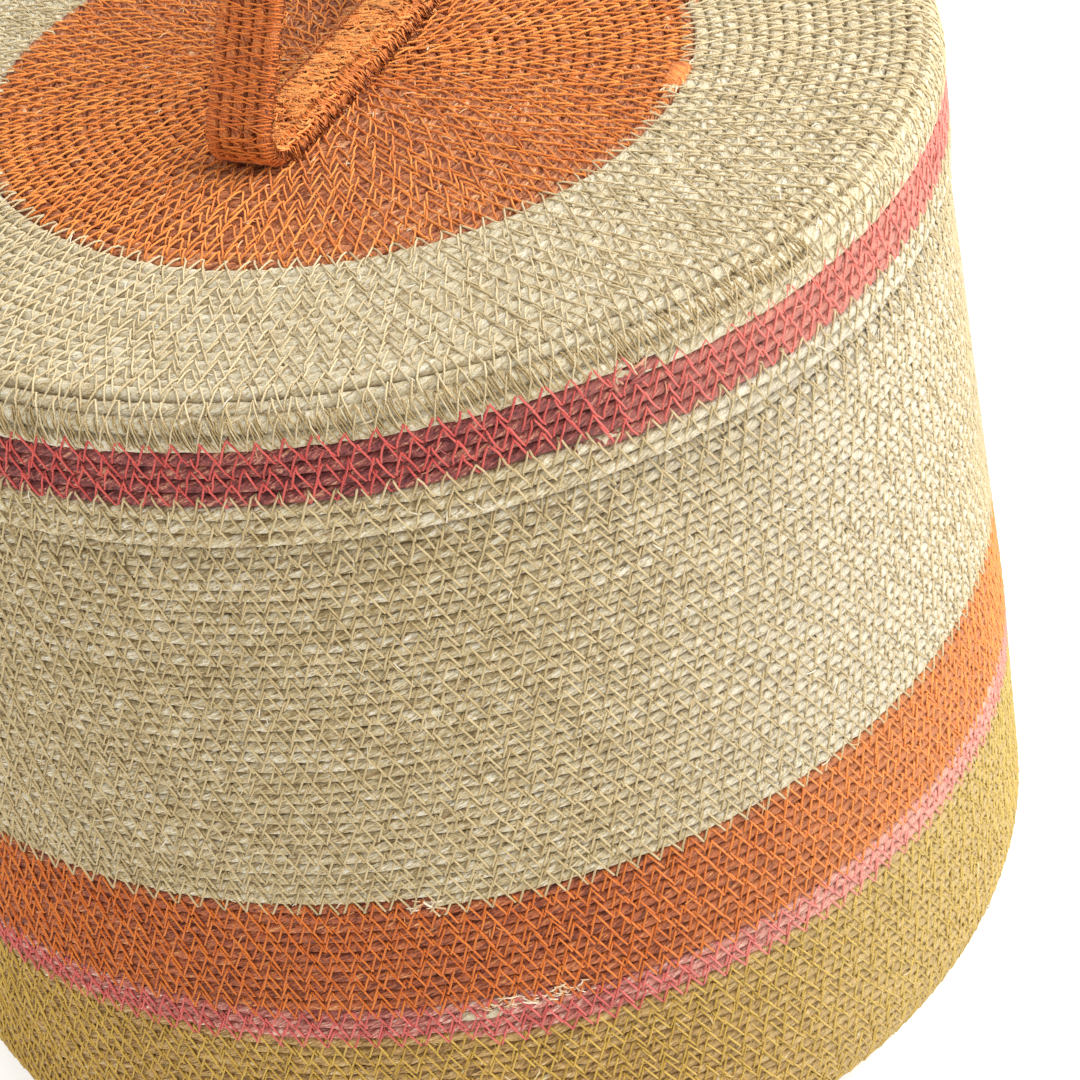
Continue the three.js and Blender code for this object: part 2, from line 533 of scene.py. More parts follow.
def finishThreads(g, curve, tone, spot, out, widen):
    # Moves the line to its place and gives it its thread
    tree = curve.tree
    curve = moved(keep(curve, "stitchTone", tone), spot)
    curve = keep(curve, "threadLength", wired(tree, "GeometryNodeSplineParameter", output="Length"))
    position = wired(tree, "GeometryNodeInputPosition")
    section = keep(triangle(tree, 0.5), "around", position, "FLOAT_VECTOR")
    x, y = split3(position)[:2]
    section = moved(section, join3(x * g["threadThick"], y * g["threadThick"] * widen, 0.0))
    return finishTree(swept(curve, section, out), g["material"])


def zigzag(index, perStitch, g):
    # Shape of a stitch: how far across the seam and along it each of its points lies, and how high
    half = perStitch / 2
    crownPlace = 0.34
    shoulderPlace = 0.77
    endHeight = 0.24        # share of the rope's thickness
    sub = calc("ROUND", index % perStitch)
    tri = 1.0 - size(1.0 - sub / half)
    across = 1.0 - tri * 2.0
    side = clamped(across * 5.0, -1.0, 1.0)
    isEnd = size(across) > 0.9
    isShoulder = size(across) > 0.3
    place = side * blend(blend(crownPlace, shoulderPlace, isShoulder), g["reach"], isEnd)
    share = (1.0 - place / g["reach"]) * 0.5
    ridge = g["ropeThick"] * 0.5 + g["threadThick"] * (0.36 - side * 0.20)
    lift = blend(ridge + g["arch"] * (1.0 - isShoulder), g["ropeThick"] * endHeight, isEnd)
    secondLeg = sub > half + 0.5
    target = blend(g["slant"] * share, 1.0 - (1.0 - g["slant"]) * share, secondLeg)
    legNumber = calc("FLOOR", index / perStitch) * 2.0 + secondLeg
    return place, lift, target - sub / perStitch, legNumber


def radiusHere(tree):
    x, y = split3(wired(tree, "GeometryNodeInputPosition"))[:2]
    return calc("SQRT", x * x + y * y)


def threadTree(perStitch):
    # A zigzag over the seam between a row and the one before. It dives beside the far edges of both rows.
    g, curve, turn, index = startThreads("zigzagStitches", coilInputs, spiralCurve, perStitch)
    place, lift, shift, legNumber = zigzag(index, perStitch, g)
    jog = (dice(index, g, "point") * 0.35 + dice(legNumber, g, "leg")) * g["jitter"]
    middle = 1.0 - place * place / (g["reach"] * g["reach"])
    bow = middle * (dice(legNumber, g, "bow") * 0.07 + 0.04)
    slow = smoothNoise(index * (0.03 / perStitch), 5.0, g["salt"]) * g["drift"]
    newTurn = turn + ((shift + jog + bow) * g["stitchLength"] + slow) / (radiusHere(curve.tree) * tau)
    wander = (dice(index, g, "wander") * 0.3 + dice(legNumber, g, "legWander")) * g["wander"]
    rise = g["rowPitch"] * (place - 0.45 + g["seamShift"] + wander)
    crease = blend(creaseLift(g, newTurn - 1.0), creaseLift(g, newTurn), clamped(place + 0.5, 0.0, 1.0))
    swollen = (fullness(g, newTurn) - 1.0) * g["ropeThick"] * 0.5
    height = lift + crease + swollen - tautness(g, newTurn)
    spot, out = spiralSpot(g, newTurn, rise, height)[:2]
    return finishThreads(g, curve, dice(legNumber, g, "tone"), spot, out, 1.12)


def backThreadTree():
    # On the inside only the thread's slanted legs show, flat on the rope
    g, curve, turn, index = startThreads("backStitches", coilInputs, spiralCurve, 2.0)
    side = 1.0 - calc("ROUND", index % 2.0) * 2.0
    jog = dice(index, g, "point") * g["jitter"] * g["stitchLength"]
    newTurn = turn + jog / (radiusHere(curve.tree) * tau)
    lift = g["ropeThick"] * -0.5 - g["threadThick"] * 0.3 + creaseLift(g, newTurn)
    spot, out = spiralSpot(g, newTurn, g["rowPitch"] * (side * 0.86 - 0.5), lift)[:2]
    return finishThreads(g, curve, dice(index, g, "tone"), spot, out, 2.4)


# Materials

def newMaterial(name, settings):
    material = bpy.data.materials.new(name)
    material.use_nodes = True
    shader = material.node_tree.nodes["Principled BSDF"]
    for label, value in settings.items():
        shader.inputs[label].default_value = value
    return material, material.node_tree, shader


def attribute(tree, name, output="Fac"):
    return wired(tree, "ShaderNodeAttribute", attribute_name=name, output=output)


def objectPlace(tree):
    return split3(wired(tree, "ShaderNodeTexCoord", output="Object"))


def addRelief(shader, height, strength, distance):
    bump = wired(height.tree, "ShaderNodeBump",
                 {"Strength": strength, "Distance": distance, "Height": height})
    feed(shader.inputs["Normal"], bump)


def mixColour(a, b, share):
    node = addNode(share.tree, "ShaderNodeMix", data_type="RGBA")
    feed(node.inputs[0], share)
    feed(node.inputs[6], a if isinstance(a, Wire) else (*a, 1.0))
    feed(node.inputs[7], b if isinstance(b, Wire) else (*b, 1.0))
    return Wire(share.tree, node.outputs[2])


def linear(colour):
    return tuple(c / 12.92 if c <= 0.04045 else ((c + 0.055) / 1.055) ** 2.4 for c in colour)


def litSideColour(colour, look):
    # Painted light: on the side that faces the key lamp, each colour is mixed towards its litSide colour,
    # which stands in for the sheen that side shows in the lamp's light
    if "litSide" not in look:
        return colour
    x, y = objectPlace(colour.tree)[:2]
    share = ramp(x * 0.7 - y * 0.7, -0.03, 0.11) * 0.75
    return mixColour(colour, linear(look["litSide"]), share)


def ropeMaterial(name, look):
    # Twisted grass: fine streaks along the lay, pale blades, and cells where the stitches pinch it. The cells
    # and the crevices between rows get painted light and shade: cell middles painted lighter, cell edges and
    # the rope's sides painted darker in the shade colour
    material, tree, shader = newMaterial(name, {"Roughness": 0.55, "Specular IOR Level": 0.45})
    length, aroundX, aroundY = split3(attribute(tree, "ropeCoords", "Vector"))
    blade = smoothNoise(length * 120.0, aroundX * 2.7, aroundY * 2.7, 2.0)
    fibre = smoothNoise(length * 160.0 + 9.0, aroundX * 7.5, aroundY * 7.5, 2.0)
    cell = smoothNoise(length * 290.0 + 4.0, aroundX * 1.4, aroundY * 1.4, 2.0)
    tone = smoothNoise(length * 12.0, 2.0, 6.0, 2.0)
    grain = blade * 0.9 + fibre * 0.6
    # Grain and tone are the grass's own; the cell term paints each cell's middle lighter, a painted highlight
    # on its bulge
    light = ramp(grain + cell * 0.5 + tone * 0.5, -0.4, 0.25)
    blades = ramp(grain * 0.8 + cell * 0.5 + tone * 0.4, look["paleFrom"], look["paleFrom"] + 0.2)
    streaks = ramp(grain * -1.0, 0.17, 0.38) * 0.8
    # Painted shade: the pinched cell edges, and the rope's sides where they face into the crevices between
    # rows, are mixed towards the shade colour
    pinchShade = ramp(cell * -1.0, 0.14, 0.4) * look["creviceShade"] * 0.6
    creviceShade = ramp(1.0 - size(attribute(tree, "facing")) + grain * 0.35, 0.3, 0.85) * look["creviceShade"]
    colour = linear(look["dark"])
    for part, share in (("base", light), ("pale", blades), ("streak", streaks)):
        colour = mixColour(colour, linear(look[part]), share)
    colour = litSideColour(colour, look)
    for share in (pinchShade, creviceShade):
        colour = mixColour(colour, linear(look["shadeColour"]), share)
    feed(shader.inputs["Base Color"], colour)
    addRelief(shader, blade * 0.6 + fibre * 0.3 + cell * 0.5, 0.9, 0.9 * mm)
    return material


def threadMaterial(name, look):
    settings = {"Roughness": 0.7, "Specular IOR Level": 0.3, "Sheen Weight": 0.1}
    material, tree, shader = newMaterial(name, settings)
    length = attribute(tree, "threadLength")
    aroundX, aroundY = split3(attribute(tree, "around", "Vector"))[:2]
    plyLength = 1.1 * mm
    ply = sine(length * (tau / plyLength) + calc("ARCTAN2", aroundY, aroundX))
    drift = smoothNoise(length * 12.0, 3.0, 1.0, 2.0)
    light = ramp(attribute(tree, "stitchTone") * 0.5 + drift * 0.8 + ply * 0.25, -0.9, 0.7)
    feed(shader.inputs["Base Color"],
         litSideColour(mixColour(linear(look["dark"]), linear(look["base"]), light), look))
    addRelief(shader, ply, 0.4, 0.12 * mm)
    return material


def fibreMaterial(name, look):
    material, tree, shader = newMaterial(name, {"Roughness": 0.6})
    x, y, z = objectPlace(tree)
    speckle = smoothNoise(x * 400.0, y * 400.0, z * 400.0, 2.0)
    share = ramp(attribute(tree, "stitchTone") + speckle, -0.6, 0.6)
    feed(shader.inputs["Base Color"], mixColour(linear(look["base"]), linear(look["pale"]), share))
    return material


# Each rope's shadeColour and creviceShade set its painted shade in crevices and at cell edges; litSide is the
# colour painted on the side facing the key lamp
looks = {
    "natural": {
        "rope": {"base": (0.86, 0.80, 0.65), "dark": (0.70, 0.61, 0.42), "pale": (0.94, 0.91, 0.83),
                 "streak": (0.48, 0.36, 0.19), "shadeColour": (0.40, 0.28, 0.12), "paleFrom": 0.1, "creviceShade": 0.75,
                 "litSide": (0.87, 0.84, 0.76)},
        "thread": {"base": (0.87, 0.79, 0.61), "dark": (0.76, 0.67, 0.48), "litSide": (0.79, 0.72, 0.57)},
    },
    "lid": {
        "rope": {"base": (0.86, 0.82, 0.71), "dark": (0.77, 0.70, 0.54), "pale": (0.92, 0.90, 0.83),
                 "streak": (0.62, 0.50, 0.32), "shadeColour": (0.56, 0.45, 0.27), "paleFrom": 0.2, "creviceShade": 0.5},
        "thread": {"base": (0.87, 0.80, 0.65), "dark": (0.77, 0.69, 0.52)},
    },
    "orange": {
        "rope": {"base": (0.76, 0.42, 0.24), "dark": (0.48, 0.20, 0.10), "pale": (0.93, 0.68, 0.44),
                 "streak": (0.25, 0.08, 0.03), "shadeColour": (0.24, 0.07, 0.03), "paleFrom": 0.24, "creviceShade": 0.9,
                 "litSide": (0.80, 0.50, 0.29)},
        "thread": {"base": (0.92, 0.54, 0.23), "dark": (0.81, 0.40, 0.14), "litSide": (0.94, 0.62, 0.34)},
    },
    "disc": {
        "rope": {"base": (0.79, 0.49, 0.30), "dark": (0.53, 0.26, 0.13), "pale": (0.93, 0.75, 0.55),
                 "streak": (0.32, 0.11, 0.04), "shadeColour": (0.34, 0.12, 0.05), "paleFrom": 0.22, "creviceShade": 0.8},
        "thread": {"base": (0.95, 0.62, 0.30), "dark": (0.84, 0.46, 0.19)},
    },
    "red": {
        "rope": {"base": (0.60, 0.29, 0.27), "dark": (0.38, 0.14, 0.14), "pale": (0.83, 0.60, 0.48),
                 "streak": (0.22, 0.06, 0.06), "shadeColour": (0.24, 0.06, 0.06), "paleFrom": 0.14, "creviceShade": 0.85,
                 "litSide": (0.87, 0.57, 0.50)},
        "thread": {"base": (0.91, 0.43, 0.39), "dark": (0.78, 0.30, 0.28), "litSide": (0.96, 0.60, 0.54)},
    },
    "pink": {
        "rope": {"base": (0.84, 0.54, 0.48), "dark": (0.62, 0.31, 0.27), "pale": (0.95, 0.84, 0.76),
                 "streak": (0.36, 0.12, 0.09), "shadeColour": (0.40, 0.13, 0.10), "paleFrom": 0.14, "creviceShade": 0.75,
                 "litSide": (0.90, 0.68, 0.60)},
        "thread": {"base": (0.92, 0.48, 0.45), "dark": (0.80, 0.36, 0.33), "litSide": (0.93, 0.65, 0.59)},
    },
    "mustard": {
        "rope": {"base": (0.80, 0.65, 0.40), "dark": (0.58, 0.43, 0.21), "pale": (0.94, 0.88, 0.70),
                 "streak": (0.36, 0.24, 0.08), "shadeColour": (0.36, 0.24, 0.08), "paleFrom": 0.24, "creviceShade": 0.8,
                 "litSide": (0.79, 0.69, 0.46)},
        "thread": {"base": (0.87, 0.73, 0.36), "dark": (0.74, 0.59, 0.24), "litSide": (0.80, 0.70, 0.40)},
    },
}
ropeFinish = {colour: ropeMaterial(colour + "Rope", look["rope"]) for colour, look in looks.items()}
threadFinish = {colour: threadMaterial(colour + "Thread", look["thread"]) for colour, look in looks.items()}
fibreFinish = {colour: fibreMaterial(colour + "Fibre", look["rope"]) for colour, look in looks.items()}
fibreFinish["fray"] = fibreMaterial("frayFibre", {"base": (0.84, 0.72, 0.56), "pale": (0.95, 0.89, 0.79)})
# Painted shade: the tight stitches' thread is darkened to stand in for the shade on the lid's rolled corner
tightShadedFinish = threadMaterial("tightThreadShaded", {"base": (0.79, 0.69, 0.50), "dark": (0.62, 0.53, 0.35)})
# A brighter copy of the disc's rope with less painted crevice shade, for the blunt rope end; on the foot
# cords this brightness is painted light over the shadowed gap beside the band's foot
endFinish = ropeMaterial("ropeEnd", {
    **looks["disc"]["rope"], "base": (0.93, 0.57, 0.27), "dark": (0.80, 0.41, 0.16),
    "streak": (0.58, 0.24, 0.09), "shadeColour": (0.52, 0.20, 0.08), "creviceShade": 0.4,
})
print("materials made")

ropeSection = {"face": 0.27, "side": 0.55, "sideDepth": 0.14, "back": 0.36}
halfSection = [(0.5, ropeSection["face"]), (ropeSection["sideDepth"], ropeSection["side"]),
               (-0.5, ropeSection["back"])]
sectionCurve = lineObject(
    "ropeSection", [(0.5, -ropeSection["face"]), *halfSection, (-0.5, -ropeSection["back"]),
                    (ropeSection["sideDepth"], -ropeSection["side"])], closed=True, flat=True)

ropeRows = {"section": sectionCurve, "stepLength": 2.2 * mm, "layLength": 26 * mm, "lumpSize": 0.4 * mm,
            "rowJitter": 0.2 * mm, "taperLength": 5 * mm}
coarseRows = {**ropeRows, "stepLength": 3.6 * mm}     # where nothing but the inside or the base shows
spliceLap = 7 * mm                                    # length by which two ropes lap at a splice
wallStitch = {"stitchLength": 6.9 * mm, "slant": 0.58, "reach": 0.91, "threadThick": 0.74 * mm,
              "arch": 0.0, "jitter": 0.11, "wander": 0.085, "drift": 12 * mm, "seamShift": 0.0}
lidStitch = {**wallStitch, "stitchLength": 7.4 * mm, "slant": 0.57, "reach": 0.93, "arch": 0.1 * mm}
topStitch = {**lidStitch, "jitter": 0.13, "wander": 0.08}
stitches = {
    "wall": wallStitch,
    "orangeBand": {**wallStitch, "stitchLength": 6.5 * mm},
    "disc": {**topStitch, "stitchLength": 5.8 * mm, "threadThick": 0.7 * mm, "arch": 0.35 * mm},
    "top": {**topStitch, "stitchLength": 6.6 * mm, "threadThick": 0.66 * mm, "arch": 0.25 * mm},
    "skirt": lidStitch,
    "tight": {**lidStitch, "stitchLength": 2.6 * mm, "slant": 2.1, "reach": 0.88, "jitter": 0.35,
              "wander": 0.16, "threadThick": 0.58 * mm, "arch": 0.2 * mm, "drift": 4 * mm,
              "seamShift": -0.14},
}
ropeGrower = ropeTree()
threadGrowers = {"basket": threadTree(6.0), "lid": threadTree(10.0), "hidden": threadTree(4.0)}
backGrower = backThreadTree()

sections = [
    # coil, colour, stitch, first and last turn, name, node that it replaces
    ("basket", "mustard", "wall", "floor", "corner", "mustardFloor", "mustard_base_coil"),
    ("basket", "mustard", "wall", "corner", "mustard", "mustardWall", "mustard_base_coil"),
    ("basket", "pink", "wall", "mustard", "pink", "pinkStripe", "pink_stripe_coil"),
    ("basket", "orange", "orangeBand", "pink", "orange", "orangeBand", "orange_band_coil"),
    ("basket", "natural", "wall", "orange", "middle", "naturalWallLower", "natural_wall_coil"),
    ("basket", "natural", "wall", "middle", "neck", "naturalWallUpper", "natural_wall_coil"),
    ("basket", "natural", "wall", "neck", "rim", "naturalNeck", "natural_wall_coil"),
    ("lid", "orange", "disc", "centre", "disc", "lidDisc", "lid_orange_disc_coil"),
    ("lid", "natural", "top", "disc", "top", "lidTop", "lid_natural_top_coil"),
    ("lid", "red", "skirt", "top", "red", "lidStripe", "lid_red_stripe_coil"),
    ("lid", "natural", "skirt", "red", "edge", "lidEdge", "lid_natural_rim_coil"),
]
# The threads stand out over the bend to the neck
overBend = {"cornerTurn": turns["shoulder"] + 1.2, "cornerFullness": 0.28}

for number, (coil, colour, stitchName, first, last, name, node) in enumerate(sections):
    place = (coil, colour + "_rope", node)
    look = {"lidDisc": "disc", "lidTop": "lid"}.get(name, colour)
    hidden = name in ("mustardFloor", "naturalNeck")
    lap = spliceLap / (tau * (discBox[1].x if coil == "lid" else mustardBox[1].x))
    rows = {**coils[coil], **(coarseRows if hidden else ropeRows), "material": ropeFinish[look],
            "firstTurn": max(turns[first] - lap, 0.0), "lastTurn": turns[last] + lap}
    grow(name + "Rope", ropeGrower, rows, *place)
    # The first turn of all has no row inside it to be sewn to
    sewing = {**coils[coil], **stitches[stitchName], "material": threadFinish[look],
              "firstTurn": turns[first] or 1.0, "lastTurn": turns[last], "salt": 100.0 * number}
    raised = overBend if name == "naturalWallUpper" else {}
    grow(name + "Threads", threadGrowers["hidden" if hidden else coil], {**sewing, **raised}, *place)
    grow(name + "BackThreads", backGrower, {**sewing, "salt": 100.0 * number + 50}, *place)

# Tight stitches are added on the last row above the red stripe. Their thread is darker: partly its own tan,
# partly painted shade for the lid's rolled corner, which turns away from the light
tight = {**coils["lid"], **stitches["tight"], **span("top", "top", -1.06, -0.6), "salt": 7000.0,
         "material": tightShadedFinish}
grow("lidTightThreads", threadGrowers["lid"], tight, "lid", "natural_rope", "lid_natural_top_coil")

# A blunt bright rope end stands off the disc's last row
stub = {**coils["lid"], **ropeRows, **span("stub", "stub", -0.01, 0.009), "ropeThick": 4.6 * mm,
        "stepLength": 1.1 * mm, "taperLength": 1 * mm, "cornerTurn": turns["stub"] + 1.5,
        "cornerFullness": 0.75, "material": endFinish}
grow("discRopeEnd", ropeGrower, stub, "lid", "orange_rope", "lid_orange_disc_coil")

# A short length of the pink rope has kept its natural colour
undyed = {**coils["basket"], **ropeRows, **span("pink", "pink", -1.024, -1.009),
          "ropeThick": coils["basket"]["ropeThick"] * 1.05, "stepLength": 1.6 * mm,
          "taperLength": 3 * mm, "cornerTurn": turns["pink"] + 0.4, "cornerFullness": 0.04,
          "material": ropeFinish["lid"]}
grow("undyedPinkRope", ropeGrower, undyed, "basket", "natural_rope", "pink_stripe_coil")
print("coils sewn")


# Loose ends of grass that stand off the rows, and the frayed ends where one rope gives way to the next

def fibreTree():
    # Blades of grass strewn over some rows. Combed ones lie along the rope.
    tree, g = newTree("looseFibres", {**coilInputs, "fibre": "Object", "count": "Int",
                                      **floats("ropeThick fibreSize spread blade combed standOff salt")})
    points = wired(tree, "GeometryNodePoints", {"Count": g["count"]})
    index = wired(tree, "GeometryNodeInputIndex")
    turn = blend(g["firstTurn"], g["lastTurn"], dice(index, g, "point") * 0.5 + 0.5)
    rise = dice(index, g, "rise") * g["rowPitch"] * g["spread"]
    lift = g["ropeThick"] * 0.5 + (dice(index, g, "lift") * 0.5 + 0.5) * g["standOff"]
    spot, out, radius = spiralSpot(g, turn, rise, lift)
    x, y = split3(spot)[:2]
    combed = g["combed"] / radius
    points = keep(moved(points, spot), "stitchTone", dice(index, g, "tone"))
    heading = join3(dice(index, g, "headingX") - y * combed, dice(index, g, "headingY") + x * combed,
                    dice(index, g, "headingZ"))
    upright = wired(tree, "FunctionNodeAlignRotationToVector", {"Vector": out}, axis="Z")
    turned = wired(tree, "FunctionNodeAlignRotationToVector", {"Rotation": upright, "Vector": heading},
                   axis="X", pivot_axis="Z")
    thin, wide = split3(wired(tree, "GeometryNodeInputPosition"))[:2]
    section = moved(triangle(tree, 0.035), join3(thin, wide * g["blade"], 0.0))
    shape = swept(shapeOf(g["fibre"]), section, (0, 0, 1))
    grownSize = g["fibreSize"] * (dice(index, g, "size") * 0.4 + 1.0)
    fibres = wired(tree, "GeometryNodeInstanceOnPoints", {
        "Points": points, "Instance": shape, "Rotation": turned,
        "Scale": join3(grownSize, grownSize, grownSize),
    })
    return finishTree(fibres, g["material"])


fibreCurve = lineObject("fibreLine", [(-0.5, -0.05), (-0.2, 0.08), (0.15, 0.11), (0.5, 0.03)])
fibreGrower = fibreTree()
fibreStyles = {
    "loose": {"blade": 1.8, "combed": 0.0, "standOff": 0.45 * mm},
    "fray": {"blade": 3.6, "combed": 0.8, "standOff": 0.4 * mm},
}
looseFibres = [
    # name, first and last turn with what is added to each, colour, style, count, size in mm,
    # spread over the row, node
    ("naturalWallFibres", ("orange", "shoulder"), "natural", "loose", 620, 2.8, 0.5, "natural_wall_coil"),
    ("mustardWallFibres", ("corner", "mustard", 4), "mustard", "loose", 160, 3.2, 0.5, "mustard_base_coil"),
    ("orangeBandFibres", ("pink", "orange"), "orange", "loose", 130, 3.2, 0.5, "orange_band_coil"),
    ("lidTopFibres", ("disc", "top"), "natural", "loose", 440, 2.8, 0.5, "lid_natural_top_coil"),
    ("lidDiscFibres", ("centre", "disc", 3), "disc", "loose", 240, 3.4, 0.5, "lid_orange_disc_coil"),
    ("lidDiscFlecks", ("centre", "disc", 3), "fray", "fray", 40, 2.2, 0.4, "lid_orange_disc_coil"),
    ("lidStripeFibres", ("top", "red"), "red", "loose", 80, 3.2, 0.5, "lid_red_stripe_coil"),
    ("lidEdgeFibres", ("red", "edge"), "natural", "loose", 60, 3.2, 0.5, "lid_natural_rim_coil"),
    ("pinkMiddleFray", ("pink", "pink", -0.015, -0.001), "fray", "fray", 34, 2.4, 0.6, "pink_stripe_coil"),
    ("pinkEndFray", ("pink", "pink", 0, 0.013), "fray", "fray", 30, 2.4, 0.7, "pink_stripe_coil"),
    ("naturalStartFray", ("orange", "orange", -0.004, 0.005), "fray", "fray", 14, 2.4, 0.6,
     "natural_wall_coil"),
    ("discEndFray", ("stub", "stub", 0.006, 0.013), "fray", "fray", 16, 3.0, 0.5, "lid_orange_disc_coil"),
    ("redStartFray", ("top", "top", -0.002, 0.006), "red", "fray", 16, 4.2, 0.6, "lid_red_stripe_coil"),
]
for number, (name, rows, colour, style, count, fibreSize, spread, node) in enumerate(looseFibres):
    coil = "lid" if node.startswith("lid") else "basket"
    values = {**coils[coil], **fibreStyles[style], **span(*rows), "fibre": fibreCurve, "count": count,
              "fibreSize": fibreSize * mm, "spread": spread, "salt": 9000.0 + 131.0 * number,
              "material": fibreFinish[colour]}
    slotName = {"disc": "orange_rope", "fray": "natural_rope"}.get(colour, colour + "_rope")
    grow(name, fibreGrower, values, coil, slotName, node)
print("loose fibres strewn")


# Handle: a rope wound five times round the loop and sewn into a flat band

handle = {
    "footRadius": 10 * mm,
    "topRadius": 26 * mm,
    "leanDegrees": 32.5,
    "bandThick": 5 * mm,
    "rows": 5,
    "ropeThick": 4.1 * mm,
}
handleLength = handleBox[1].x - handleBox[0].x
handleHeight = handleBox[1].z - handleBox[0].z
handleWidth = handleBox[1].y - handleBox[0].y
handleBase = handleBox[0].z


def handleLine():
    # The loop through the middle of the band, from the middle of its foot
    lean = math.radians(handle["leanDegrees"])
    inset = handle["bandThick"] / 2
    foot = handle["footRadius"]
    top = handle["topRadius"]
    footX = handleLength / 2 - foot
    meetX = footX + foot * math.tan(math.pi / 4 + lean / 2) - handleHeight * math.tan(lean)
    topX = meetX - top * math.tan(math.pi / 4 - lean / 2)
    half = [(footX * step / 8, handleBase + inset) for step in range(8)]
    half += arcPoints(footX, handleBase + foot, foot - inset, -90, handle["leanDegrees"], 8)
    half += arcPoints(topX, handleBase + handleHeight - top, top - inset, handle["leanDegrees"], 90, 8)
    return half + [(-x, z) for x, z in reversed(half) if x > 0.1 * mm]


handlePoints = handleLine()
loopLength = lineLength(handlePoints + handlePoints[:1])
handleCurve = lineObject("handleLine", handlePoints, closed=True)
print("handle loop", round(loopLength, 4))
handleShape = {"profile": handleCurve, "loopLength": loopLength, "rowPitch": handleWidth / handle["rows"],
               "rows": float(handle["rows"])}
handleInputs = {"profile": "Object", "material": "Material",
                **floats("loopLength rowPitch rows firstTurn lastTurn")}
mirroredInputs = {**handleInputs, "mirror": "Float"}      # 1 or -1, for one face or edge or the other


def handleSpot(g, along, y, lift):
    # A place on the band: along the loop, across the band and out from its middle
    x, z, tangentX, tangentZ = lineSpot(g["profile"], along % g["loopLength"])
    spot = join3(x + tangentZ * lift, y, z - tangentX * lift)
    return spot, join3(tangentZ, 0.0, tangentX * -1.0)


def handleRow(turn, count):
    # Rows wound so far, from the middle of the band. Each one changes over under the foot.
    whole = calc("FLOOR", turn)
    change = ramp(turn - whole, 0.9, 1.0)
    half = (count - 1.0) * 0.5
    return clamped(whole + change - half, half * -1.0, half)


def handleWinding(tree, g, stepLength):
    curve, index = countedLine(tree, (g["lastTurn"] - g["firstTurn"]) * g["loopLength"] / stepLength)
    return keep(curve, "turn", index * stepLength / g["loopLength"] + g["firstTurn"])


def handleRopeTree():
    tree, g = newTree("handleRope", {**handleInputs, **ropeInputs, **floats("side lift")})
    curve = handleWinding(tree, g, g["stepLength"])
    turn = recall(tree, "turn")
    y = handleRow(turn, g["rows"]) * g["rowPitch"] + g["side"]
    spot, out = handleSpot(g, turn * g["loopLength"], y, g["lift"])
    return finishTree(ropeBody(measured(moved(curve, spot)), out, g), g["material"])


def handleZigzagTree():
    perStitch = 6.0
    g, curve, turn, index = startThreads("handleZigzag", mirroredInputs, handleWinding, perStitch)
    place, lift, shift, legNumber = zigzag(index, perStitch, g)
    jog = dice(index, g, "point") * g["jitter"] + dice(legNumber, g, "leg") * g["jitter"]
    row = handleRow(turn, g["rows"] - 1.0) + place + dice(index, g, "wander") * g["wander"]
    slow = smoothNoise(index * (0.06 / perStitch), 5.0, g["salt"]) * g["drift"]
    along = turn * g["loopLength"] + (shift + jog) * g["stitchLength"] + slow
    spot, out = handleSpot(g, along, row * g["rowPitch"], lift * g["mirror"])
    tone = dice(legNumber, g, "tone")
    return finishThreads(g, curve, tone, spot, scaled(out, g["mirror"]), 1.1)


def handleEdgeTree():
    # Overcast stitches round an edge of the band: six points for each, over the edge and back inside
    perStitch = 6.0
    g, curve, turn, index = startThreads("handleEdge", mirroredInputs, handleWinding, perStitch)
    number = calc("FLOOR", index / perStitch)
    angle = calc("ROUND", index % perStitch) * (tau / perStitch) + 0.25
    halfThick = g["ropeThick"] * 0.5 + g["threadThick"] * 0.55
    reach = cosine(angle) * (1.0 + dice(number, g, "point") * 0.25)
    y = (g["rows"] * 0.5 - 0.42 + reach * 0.64) * g["rowPitch"]
    along = turn * g["loopLength"] + dice(index, g, "along") * g["jitter"] * g["stitchLength"]
    spot, out = handleSpot(g, along, y * g["mirror"], sine(angle) * halfThick)
    return finishThreads(g, curve, dice(number, g, "tone"), spot, out, 1.1)


def footWhipTree():
    # Whip stitches that hold the band's foot down on the lid
    perStitch = 4.0
    g, curve, turn, index = startThreads("footWhip", mirroredInputs, handleWinding, perStitch)
    sub = calc("ROUND", index % perStitch)
    over = ramp(sub, 0.0, 3.0)
    chance = dice(calc("FLOOR", index / perStitch), g, "point")
    y = (g["rows"] * 0.5 - 0.75 + over * 1.25 + chance * 0.25 * over) * g["rowPitch"]
    high = g["ropeThick"] * 0.5 + g["threadThick"] * 0.9
    rise = clamped(1.0 - over, 0.0, 1.0)
    lift = blend(high * -1.0 - 0.7 * mm * size(sub - 1.0), g["ropeThick"] * 0.62,
                 1.0 - calc("POWER", rise, 0.35))
    jog = dice(index, g, "along") * g["jitter"] + chance * 0.3
    spot, out = handleSpot(g, turn * g["loopLength"] + jog * g["stitchLength"], y * g["mirror"], lift)
    return finishThreads(g, curve, chance, spot, out, 1.1)


def growHandle(name, tree, values, first, last):
    values = {**handleShape, **values, "firstTurn": first, "lastTurn": last}
    grow("handle" + name, tree, values, "lid", "orange_rope", "lid_handle_loop")


